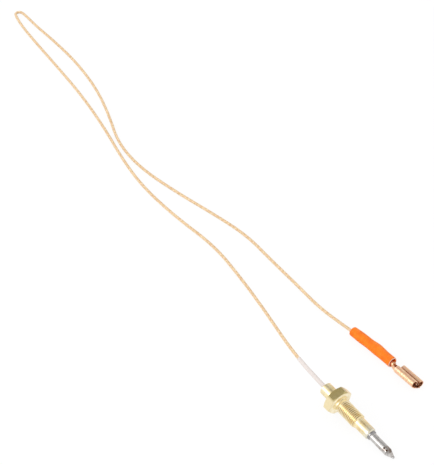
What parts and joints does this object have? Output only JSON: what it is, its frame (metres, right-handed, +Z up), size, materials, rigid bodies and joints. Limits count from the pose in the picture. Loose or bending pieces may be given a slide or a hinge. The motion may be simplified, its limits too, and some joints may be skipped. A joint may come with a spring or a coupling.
{
  "type": "gas hob thermocouple",
  "caption": "Brass screw-in thermocouple head with a hexagon and steel sensing tip, one long braided lead, and a push-on receptacle in a sliding orange sleeve.",
  "frame": {"origin": "on the table under the middle of the brass and steel head, the lead and its terminal left out", "axes": "+Z up, +X along the head towards the sensing tip, +Y to the side on which the terminal lies"},
  "size_m": [0.348, 0.0652, 0.0113],
  "materials": {
    "brass_body": "turned brass, bright, machined thread and hexagon",
    "ring_steel": "pressed steel ring",
    "sheath_steel": "drawn stainless steel tube, polished",
    "bead_metal": "weld bead",
    "constantan": "constantan rod",
    "rod_ceramic": "ceramic tube",
    "ferrule_brass": "crimped ferrule",
    "splice_glass_fibre": "glass-fibre tube",
    "bush_ceramic": "ceramic bush",
    "heat_sleeve_white": "white coated glass-fibre sleeve",
    "conductor_copper": "copper core",
    "wrap_glass_fibre": "glass-fibre lapping",
    "braid_fibre": "woven braid, cream with orange and ochre picks",
    "strand_copper": "bare copper strands",
    "receptacle_copper": "stamped copper alloy, bright",
    "sleeve_orange": "soft orange insulating tube, satin"
  },
  "bodies": {
    "thermocouple": {"threaded_body": "brass_body", "retaining_ring": "ring_steel", "sensor_sheath": "sheath_steel", "junction_bead": "bead_metal", "constantan_rod": "constantan", "rod_insulator": "rod_ceramic", "splice_ferrule": "ferrule_brass", "splice_insulator": "splice_glass_fibre", "rear_bush": "bush_ceramic", "heat_sleeve": "heat_sleeve_white", "lead_conductor": "conductor_copper", "lead_wrap": "wrap_glass_fibre", "lead_braid": "braid_fibre", "terminal_strands": "strand_copper", "receptacle": "receptacle_copper"},
    "sleeve": {"terminal_sleeve": "sleeve_orange"}
  },
  "joints": [
    {"name": "sleeve_slide", "type": "slide", "parent": "thermocouple", "child": "sleeve", "axis": [-1, -0.007, 0], "range_m": [0, 0.008]}
  ]
}
